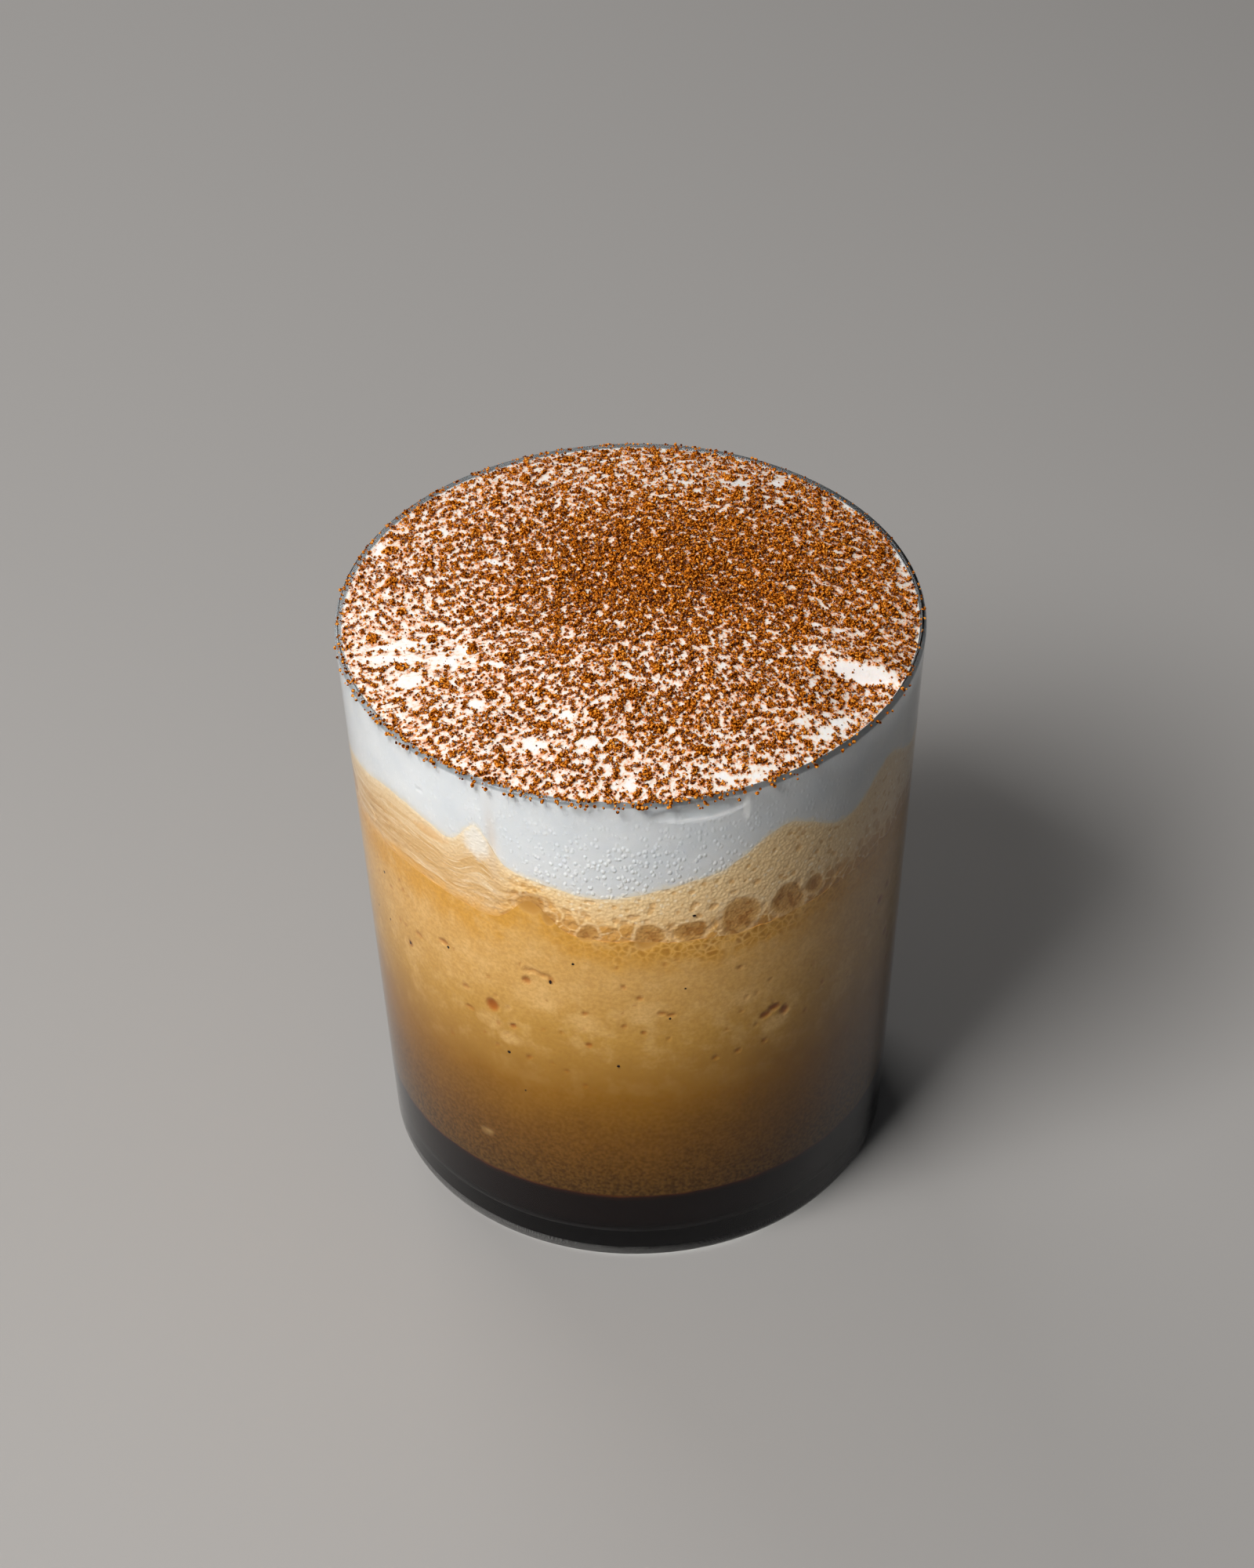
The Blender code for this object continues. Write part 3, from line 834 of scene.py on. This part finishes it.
# The streaks on the left: noise drawn out along the layer, in a space of its own without units
along = foam.times(foam.attribute("round"), 0.075)
across = foam.times(foam.attribute("share"), 9.0)
stream = foam.node("CombineXYZ", {0: along, 1: across, 2: 0.0}).outputs[0]
streaks = foam.noise(1.0, detail=3, roughness=0.55, vector=stream, distortion=0.7)
thin_streaks = foam.noise(0.32, roughness=0.6, vector=stream)
plain_colour = foam.colour
foam.colour = foam.ramp(
    streaks,
    (0.28, (190, 144, 82)),
    (0.42, (204, 166, 110)),
    (0.55, (214, 181, 133)),
    (0.7, (224, 200, 162)),
)
thin_mask = foam.span(thin_streaks, 0.54, 0.7, 0.0, 0.5)
foam.wash(thin_mask, (240, 224, 194))
near_foot = foam.sway(foam.attribute("share"), 2.5 * MM, 0.25)
foam.wash(foam.span(near_foot, 0.1, 0.36, 0.85, 0.0), (216, 164, 80))
ochre_spot = foam.sway(foam.attribute("ochre_spot"), 2 * MM, 0.6, detail=3)
foam.wash(foam.span(ochre_spot, 0.5, 1.0, 0.0, 0.8), (206, 150, 72))
near_cream = foam.span(foam.attribute("share"), 0.55, 1.0, 0.0, 0.6)
foam.wash(near_cream, (234, 212, 176))
foam.colour = foam.mix(foam.attribute("swirl"), plain_colour, foam.colour)
whiter = foam.sway(foam.attribute("white_lobe"), 1.8 * MM, 0.9, detail=3)
foam.wash(foam.span(whiter, 0.7, 1.35), (228, 221, 210))
under_cream = foam.sway(foam.attribute("under_cream"), 1.1 * MM, 1.6)
foam.wash(foam.span(under_cream, 0.6, 1.9, 0.75, 0.0), (238, 222, 192))
foam.wash(foam.times(foam.attribute("crease"), 0.85), (216, 190, 156))
foam.surface(
    Base_Color=foam.colour,
    Roughness=foam.span(foam_tone, 0.3, 0.7, 0.4, 0.55),
    Specular_IOR_Level=0.08,
    Normal=foam.bump(fine, 0.08 * MM),
)
dress(froth, foam)
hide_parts("beige_froth")


# Whipped cream
# Lightly whipped cream, spooned on last and levelled with the rim. It mounds up off centre and has
# slumped into a fold at the right. Tiny beads of it show where it clings to the wall.
CREAM_EDGE = 94.6 * MM
CREST = Vector((4 * MM, 10 * MM))
CREST_HEIGHT = 4.2 * MM
CREST_ROUNDNESS = 1.3
MENISCUS = 0.6 * MM
MENISCUS_SPAN = 2 * MM
CALM_EDGE = 8 * MM
UNEVENNESS = 0.5 * MM
UNEVEN_SPAN = 11 * MM
# The fold: where it starts along X and grows, its line across Y, and the drop in front of it
FOLD_START = 23 * MM
FOLD_SPAN = 10 * MM
FOLD_LINE = -12 * MM
FOLD_SLANT = -0.18
FOLD_DROP = 1.8 * MM
FOLD_RUN = 2.3 * MM
FOLD_SHELF = 9 * MM
LIP_OFFSET = 0.2 * FOLD_RUN
LIP_HEIGHT = 0.9 * MM
LIP_WIDTH = 3 * MM
CREAM_GAP = 0.3 * MM
# A shallow step in the cream on the left, where a spoon pressed it
STEP_MIDDLE = Vector((-31.4, -11.5)) * MM
STEP_RADIUS = 8.4 * MM
STEP_DEPTH = 0.5 * MM
STEP_EDGE = 0.9 * MM
STEP_SPAN = 4 * MM
CREAM_SIDE_ROWS = 46
CREAM_TOP_ROWS = 92
# Air pockets just under the rim, in front and behind: bearing, height, half width, half height in mm
AIR_POCKETS = (
    (12.5, 92.3, 7.0, 1.5),
    (152, 90.5, 5.5, 1.6),
)
SHALLOW_POCKET = (-45.8, 87.3, 1.2, 0.5)
SHALLOW_SHARE = 0.3
POCKET_DEPTH = 0.42 * MM
CREASE_DEPTH = 0.2 * MM
# A painted highlight: a bright streak beside the front pocket, bearing, height, half width and half height
# in mm
HIGHLIGHT_STREAK = (21.8, 91.2, 0.7, 2.6)


def smooth_step(value):
    t = min(max(value, 0.0), 1.0)
    return t * t * (3 - 2 * t)


def cream_height(x, y):
    """The cream's top: a low mound off centre, a fold at the right and a step at the left."""
    wall = inner_radius(CREAM_EDGE) - CREAM_GAP
    offset = Vector((x, y)) - CREST
    distance = offset.length
    share = 0.0
    if distance > 0:
        across = CREST.dot(offset / distance)
        reach = -across + math.sqrt(across**2 + wall**2 - CREST.length_squared)
        share = min(distance / reach, 1.0)
    inward = wall - math.hypot(x, y)
    height = CREAM_EDGE + CREST_HEIGHT * (1 - share**2) ** CREST_ROUNDNESS
    height += MENISCUS * (1 - math.exp(-max(inward, 0) / MENISCUS_SPAN))
    calm = smooth_step(inward / CALM_EDGE)
    height += calm * UNEVENNESS * noise.noise(Vector((x, y, 0)) / UNEVEN_SPAN)
    ahead = FOLD_LINE + FOLD_SLANT * (x - FOLD_START) - y
    strength = smooth_step((x - FOLD_START) / FOLD_SPAN) * (0.4 + 0.6 * smooth_step(inward / (4 * MM)))
    past = max(ahead - FOLD_RUN, 0)
    drop = FOLD_DROP * smooth_step(ahead / FOLD_RUN) * math.exp(-((past / FOLD_SHELF) ** 2))
    behind = ahead - LIP_OFFSET
    lip_rise = LIP_HEIGHT * math.exp(-((behind / LIP_WIDTH) ** 2))
    if behind > 0:
        lip_rise = LIP_HEIGHT * (1 - smooth_step(behind / FOLD_RUN))
    height += strength * (lip_rise - drop)
    pressed = Vector((x, y)) - STEP_MIDDLE
    within = STEP_RADIUS - pressed.length
    upper = smooth_step((pressed.y + 2 * MM) / (5 * MM)) * smooth_step(inward / (3 * MM))
    step = STEP_DEPTH * upper * smooth_step(within / STEP_EDGE)
    return height - step * math.exp(-max(within, 0) / STEP_SPAN)


cream_edge = np.full(len(BEARINGS), CREAM_EDGE)
side_z = side_heights(froth_top, cream_edge, np.linspace(0, 1, CREAM_SIDE_ROWS))
top_share = np.linspace(1, 0, CREAM_TOP_ROWS + 2)[1:-1]
top = round_points(wet_radius(CREAM_EDGE) * top_share, 0 * top_share, BEARINGS)
top[..., 2] = np.vectorize(cream_height)(top[..., 0], top[..., 1])
pocket = np.max([oval(side_z, *place) ** 0.5 for place in AIR_POCKETS], axis=0)
pocket = np.maximum(pocket, oval(side_z, *SHALLOW_POCKET) * SHALLOW_SHARE)
crease = crease_at(side_z, 1.2, 84 * MM, 5.5 * MM)
dents = POCKET_DEPTH * pocket + CREASE_DEPTH * crease
cream = pour("whipped_cream_top", side_z, dents, top=top, end=(0, 0, cream_height(0.0, 0.0)))
paint(
    cream,
    CREAM_SIDE_ROWS,
    beads=0.25 + hump(BEARINGS, -2, 22) * np.clip((91 * MM - side_z) / (9 * MM), 0, 1),
    pocket=pocket,
    scratch=np.clip(1.6 - 1.6 * patch(side_z, *HIGHLIGHT_STREAK), 0, 1),
    crease=crease,
    thin_edge=hump(BEARINGS, SWIRL_MIDDLE, 16) * np.exp(-(((side_z - froth_top) / (0.9 * MM)) ** 2)),
    over_froth=(side_z - froth_top) / MM,
)

whipped = Finish("whipped_cream")
whipped_tone = whipped.noise(6 * MM, detail=3)
# Painted shade: the side, which faces the wall, is a greyer white than the top; which surface is top is
# read from its normal.
facing_up = whipped.node("SeparateXYZ", {0: whipped.node("NewGeometry").outputs["Normal"]}).outputs[2]
on_top = whipped.span(facing_up, 0.25, 0.55)
whipped.colour = whipped.ramp(whipped_tone, (0.3, (210, 213, 216)), (0.7, (220, 221, 222)))
bead = whipped.cells(0.72 * MM, vector=whipped.place((1, 1, 0.7)))
bead_relief_and_highlight = whipped.span(bead, 0.1, 0.55, 1.0, 0.0)
bead_relief_and_highlight = whipped.times(bead_relief_and_highlight, whipped.span(whipped.noise(1.7 * MM), 0.34, 0.52))
bead_relief_and_highlight = whipped.times(bead_relief_and_highlight, whipped.attribute("beads"), clamp=True)
# The beads are real bumps, and are also washed paler than the side: painted highlights on them.
whipped.wash(whipped.times(bead_relief_and_highlight, 0.4), (246, 247, 247))
# Painted shade: the air pockets are washed grey.
whipped.wash(whipped.times(whipped.attribute("pocket"), 0.25), (196, 198, 200))
# Painted highlight: a bright white streak by the front air pocket.
whipped.wash(whipped.attribute("scratch"), (255, 255, 254))
whipped.wash(whipped.times(whipped.attribute("crease"), 0.5), (214, 196, 178))
near_froth = whipped.span(whipped.sway(whipped.attribute("over_froth"), 1.1 * MM, 1.6), 0.6, 1.9, 0.7, 0.0)
whipped.wash(near_froth, (234, 220, 194))
# Painted shade: a grey band along the foot of the cream over the streaks, where it meets the froth.
whipped.wash(whipped.times(whipped.attribute("thin_edge"), 0.5), (196, 192, 186))
shaded_side_colour = whipped.colour

# On top, the attribute "cocoa" says how far inside the cocoa a point is, and it is bare below 0
dust = whipped.noise(0.5 * MM, detail=4, roughness=0.7)
dust_patch = whipped.span(whipped.attribute("cocoa"), -0.65, 0.05, 0.03, 1.0)
dusty = whipped.times(whipped.span(dust, 0.42, 0.58), dust_patch)
near_grains = whipped.span(whipped.attribute("cocoa"), -1.0, -0.25)
whipped.colour = whipped.mix(near_grains, srgb(253, 251, 248), srgb(253, 243, 229))
whipped.wash(dusty, (232, 140, 66))
powder_edge = whipped.noise(0.45 * MM, roughness=0.6)
powdered = whipped.math("MULTIPLY_ADD", powder_edge, 0.7, whipped.attribute("cocoa"))
powdered = whipped.span(powdered, 0.28, 0.6, 0.0, 0.92)
whipped.wash(powdered, (94, 38, 3))
whipped.surface(
    Base_Color=whipped.mix(on_top, shaded_side_colour, whipped.colour),
    Roughness=whipped.span(whipped_tone, 0.3, 0.7, 0.4, 0.55),
    Specular_IOR_Level=0.15,
    Subsurface_Weight=0.2,
    Subsurface_Radius=(1.0, 0.8, 0.6),
    Subsurface_Scale=1.0 * MM,
    Normal=whipped.bump(bead_relief_and_highlight, 0.10 * MM),
)
dress(cream, whipped)
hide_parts("whipped_cream")


# Cocoa
# Cocoa powder, sifted over the cream. It lies in crumbs and clumps, closest along the mound, with
# bare patches of cream between, and some has landed on the rim.
# Where it lies thicker or thinner, in mm on the rim's plane: middle x and y, half sizes, by how much
COVER_BASE = 0.42
COVER_AREAS = (
    (3, 10, 21, 17, 0.38),
    (26, 2, 14, 19, 0.14),
    (-4, 33, 26, 8, -0.15),
    (7, -23, 15, 10, 0.14),
    (-33, -6, 12, 22, -0.14),
    (-3, -35, 22, 6, -0.08),
    (28, -27, 9, 7, -0.10),
)
# Bare patches, on the same plane: middle x and y, half length and half width in mm, turn in degrees
BARE_PATCHES = (
    (30, -5.2, 2.6, 0.7, -12),
    (25.6, -9.4, 2.4, 0.7, -6),
    (12.8, -6.2, 1.8, 0.45, 88),
    (13.2, -12.6, 1.9, 0.5, 82),
    (4.7, 6.3, 1.1, 0.5, 70),
    (10.6, 1.5, 2.4, 0.3, 100),
    (-20, 12.6, 2.6, 0.8, -28),
    (-11.3, 8.2, 1.0, 0.8, 0),
    (-12.5, 15.2, 1.0, 0.7, 20),
    (-28.4, 20.4, 1.5, 1.1, 0),
    (16.4, 31.4, 2.0, 1.0, -15),
    (23.0, 31.2, 1.2, 1.4, 0),
    (8.2, 33.0, 0.8, 2.2, 12),
    (-36.8, 16.8, 1.1, 1.6, 20),
    (-33.0, -6.6, 4.6, 0.6, 8),
    (-34.5, -9.6, 3.6, 0.7, -4),
    (-26.2, -10.6, 2.2, 1.0, -20),
    (-24.0, -8.0, 2.0, 0.8, -50),
    (-18.4, -11.3, 1.9, 0.4, 0),
    (-31.8, -15.0, 1.8, 1.3, 0),
    (-9.0, -23.0, 1.5, 1.4, 30),
    (-14.0, -29.6, 2.0, 1.3, 0),
    (-6.0, -29.5, 1.5, 1.0, 20),
    (-1.8, -29.0, 1.0, 1.1, 0),
    (-0.4, -38.6, 1.0, 1.3, 0),
    (12.4, -37.0, 1.9, 0.7, -55),
    (17.0, -36.8, 1.7, 0.9, 20),
    (27.0, -28.5, 1.3, 0.8, 30),
    (29.2, -25.6, 1.6, 0.8, 25),
    (24.0, -25.5, 1.0, 0.7, 0),
    (11.8, -28.0, 1.4, 0.5, -10),
    (4.4, -16.2, 1.7, 0.7, 10),
    (-0.4, -14.8, 0.7, 0.7, 0),
    (27.0, 7.5, 1.9, 0.35, -55),
    (40.2, 11.5, 0.7, 3.2, 0),
    (-4.5, -20.0, 1.2, 0.6, 40),
    (-22.0, -20.5, 1.5, 0.9, 30),
)
BARE_DEPTH = 0.52
BARE_SHARPNESS = 0.7
# Seen from in front, a point above the rim's plane seems to lie further back, by this share of its rise
SEEN_SHIFT = 1.15
PATTERN_SIZES = (1.0 * MM, 0.4 * MM)
PATTERN_SAMPLES = 4000
COCOA_REACH = 42.75 * MM
CRUMB_SPREAD = 0.4
# Grains are thrown in batches. On the fold, a third of them stay where the slope is as steep as this.
BATCH = 6000
FOLD_HOLD = 0.9
SLOPE_STEP = 0.3 * MM
# Beyond this slope the cream's own cocoa colour thins out on the fold too
BARE_SLOPE = 0.6
BARE_SLOPE_SHARE = 1.5
# Powders: name, grains, least and greatest half size, how readily they stray, height of piles, sides
POWDERS = (
    ("cocoa_coarse", 11000, (0.18 * MM, 0.32 * MM), 0.02, 0.6 * MM, 8),
    ("cocoa_fine", 24500, (0.12 * MM, 0.22 * MM), 0.06, 0.5 * MM, 8),
    ("cocoa_dust", 46000, (0.08 * MM, 0.16 * MM), 0.15, 0.35 * MM, 4),
)
POWDER_SEED = 31
GRAIN_JAG = 0.22
# Grains on the rim, how far they stand off it and the share that has slipped to the wall below
RIM_GRAINS = 330
RIM_STAND_OFF = 0.12 * MM
SLIPPED_SHARE = 0.18
CLUMPS = 100
CLUMP_RADIUS = (0.75 * MM, 1.15 * MM)
CLUMP_REACH = 39.4 * MM
CLUMP_SINK = 0.35
CLUMP_SLOPE = 0.4
CLUMP_GRAINS = 22
GOLDEN_ANGLE = math.pi * (3 - math.sqrt(5))


def cocoa_pattern(x, y):
    """The maze of clumps and gaps, as a number that is normally between -1 and 1."""
    return sum(noise.noise(Vector((x, y, 0)) / size) for size in PATTERN_SIZES)


def cocoa_cover(u, v):
    """The share of the cream that cocoa covers round a place on the rim's plane, in mm."""
    cover = COVER_BASE + 0 * u
    for mid_u, mid_v, half_u, half_v, more in COVER_AREAS:
        cover += more * np.exp(-(((u - mid_u) / half_u) ** 2) - ((v - mid_v) / half_v) ** 2)
    for mid_u, mid_v, half_u, half_v, turn in BARE_PATCHES:
        cos, sin = math.cos(math.radians(turn)), math.sin(math.radians(turn))
        lengthwise = ((u - mid_u) * cos + (v - mid_v) * sin) / half_u
        crosswise = ((v - mid_v) * cos - (u - mid_u) * sin) / half_v
        cover -= BARE_DEPTH * np.exp(-BARE_SHARPNESS * np.hypot(lengthwise, crosswise) ** 2)
    return np.clip(cover, 0, 0.999)


pattern_at = np.vectorize(cocoa_pattern)
cream_at = np.vectorize(cream_height)
pattern_draw = np.random.default_rng(5)
pattern_spots = pattern_draw.uniform(-RIM_RADIUS, RIM_RADIUS, (2, PATTERN_SAMPLES))
pattern_levels = np.sort(pattern_at(*pattern_spots))


def cocoa_depth(x, y, ground):
    """How far inside the cocoa points are. It is bare below 0."""
    cover = cocoa_cover(x / MM, (y + SEEN_SHIFT * (ground - HEIGHT)) / MM)
    return pattern_levels[(cover * len(pattern_levels)).astype(int)] - pattern_at(x, y)


def steepness(x, y, ground):
    """The cream's slope across the fold, at points whose height is known."""
    return np.abs(cream_at(x, y + SLOPE_STEP) - ground) / SLOPE_STEP


def sift(count, sizes, stray, pile, seed):
    """Places for grains. Those that stray lie outside the cocoa's pattern."""
    pick = np.random.default_rng(seed)
    places = []
    while len(places) < count:
        angle = pick.uniform(0, math.tau, BATCH)
        reach = COCOA_REACH * np.sqrt(pick.random(BATCH))
        x, y = reach * np.cos(angle), reach * np.sin(angle)
        on_rim = reach > inner_radius(HEIGHT)
        rim_top = HEIGHT - LIP + np.sqrt(np.clip(LIP**2 - (reach - RIM_RADIUS + LIP) ** 2, 0, None))
        ground = np.where(on_rim, rim_top, cream_at(x, y))
        depth_in = cocoa_depth(x, y, ground)
        likely = np.clip(0.5 + depth_in / CRUMB_SPREAD, stray, 1) ** 2
        kept = pick.random(BATCH) < likely
        hold = np.exp(-((steepness(x, y, ground) / FOLD_HOLD) ** 2))
        kept &= pick.random(BATCH) < np.where(x < FOLD_START, 1, hold)
        kept &= ~on_rim | (y > -18 * MM) & (pick.random(BATCH) < 0.8) | (pick.random(BATCH) < 0.25)
        size = pick.uniform(*sizes, BATCH)
        heap = pile * np.clip(depth_in / 0.5, 0, 1) * pick.random(BATCH) * ~on_rim
        z = ground + 0.4 * size + heap
        scale = size[:, None] * pick.uniform(0.75, 1.15, (BATCH, 3))
        places += [((x[k], y[k], z[k]), scale[k], angle[k]) for k in np.nonzero(kept)[0]]
    return places[:count]


top_x, top_y, top_z = np.moveaxis(top, -1, 0)
top_depth = cocoa_depth(top_x, top_y, top_z)
too_steep = np.clip(steepness(top_x, top_y, top_z) - BARE_SLOPE, 0, 1)
top_depth -= BARE_SLOPE_SHARE * too_steep * (top_x > FOLD_START)
below = np.full((FLAT_ROWS + CREAM_SIDE_ROWS, len(BEARINGS)), -1.0)
covered = np.concatenate([below, top_depth]).reshape(-1)
store(cream, "cocoa", np.append(covered, (-1, top_depth[-1].mean())))

# The clumps stand where the solids have them. So their numbers are drawn as the solids' were, after two
# for each bubble at the back, and with three turns for each clump.
clump_draw = random.Random(BUBBLE_SEED)
for k in range(2 * BACK_BUBBLES):
    clump_draw.random()
clump_spots = []
for k in range(CLUMPS):
    reach = CLUMP_REACH * math.sqrt((k + 0.5) / CLUMPS) ** 1.12
    x = reach * math.cos(k * GOLDEN_ANGLE) + clump_draw.uniform(-0.5, 0.5) * MM
    y = reach * math.sin(k * GOLDEN_ANGLE) + clump_draw.uniform(-0.5, 0.5) * MM
    clump_spots.append((x, y))
clump_places = []
for x, y in clump_spots:
    radius = clump_draw.uniform(*CLUMP_RADIUS)
    scale = [radius * clump_draw.uniform(0.8, 1.15) for axis in range(3)]
    clump_turn = [clump_draw.uniform(0, math.tau) for axis in range(3)]
    slope = abs(cream_height(x, y + 0.6 * MM) - cream_height(x, y - 0.6 * MM)) / (1.2 * MM)
    if slope > CLUMP_SLOPE or math.hypot(x, y) > CLUMP_REACH:
        continue
    for grain_count in range(CLUMP_GRAINS):
        way = Vector((draw.gauss(0, 1), draw.gauss(0, 1), abs(draw.gauss(0, 0.7)))).normalized()
        gx, gy = x + way.x * scale[0] * 0.85, y + way.y * scale[1] * 0.85
        size = draw.uniform(0.2, 0.34) * MM
        gz = cream_height(gx, gy) + (CLUMP_SINK + 0.75 * way.z) * scale[2] * 0.6
        clump_places.append(((gx, gy, gz), [size] * 3, clump_turn[0]))

rim_places = []
for k in range(RIM_GRAINS):
    bearing = math.radians(max(min(draw.gauss(-8, 34), 100), -100))
    over = math.radians(draw.triangular(-20, 150, 100))
    r = RIM_RADIUS - LIP + (LIP + RIM_STAND_OFF) * math.cos(over)
    z = HEIGHT - LIP + (LIP + RIM_STAND_OFF) * math.sin(over)
    if draw.random() < SLIPPED_SHARE:
        z -= draw.uniform(0.2, 1.3) * MM
        r = outer_radius(z) + 0.08 * MM
    size = draw.uniform(0.14, 0.34) * MM
    rim_places.append(((r * math.sin(bearing), -r * math.cos(bearing), z), [size] * 3, bearing))

cocoa = Finish("cocoa_powder")
cocoa_tone = cocoa.noise(0.36 * MM, roughness=0.6)
# The tone varies at random from grain to grain; its darkest end is pushed near black, partly as painted
# shade between the grains.
cocoa_colour = cocoa.ramp(
    cocoa_tone,
    (0.4, (56, 18, 0)),
    (0.48, (146, 70, 5)),
    (0.55, (222, 126, 28)),
    (0.65, (255, 182, 76)),
)
cocoa.surface(Base_Color=cocoa_colour, Roughness=0.95, Specular_IOR_Level=0.02)
heaps = [("cocoa_clumps", clump_places, 20), ("cocoa_on_rim", rim_places, 20)]
for k, (name, count, sizes, stray, pile, sides) in enumerate(POWDERS):
    heaps.append((name, sift(count, sizes, stray, pile, POWDER_SEED + k), sides))
for seed, (name, places, sides) in enumerate(heaps):
    powder = crumbs(name, places, sides, GRAIN_JAG, seed)
    dress(powder, cocoa)
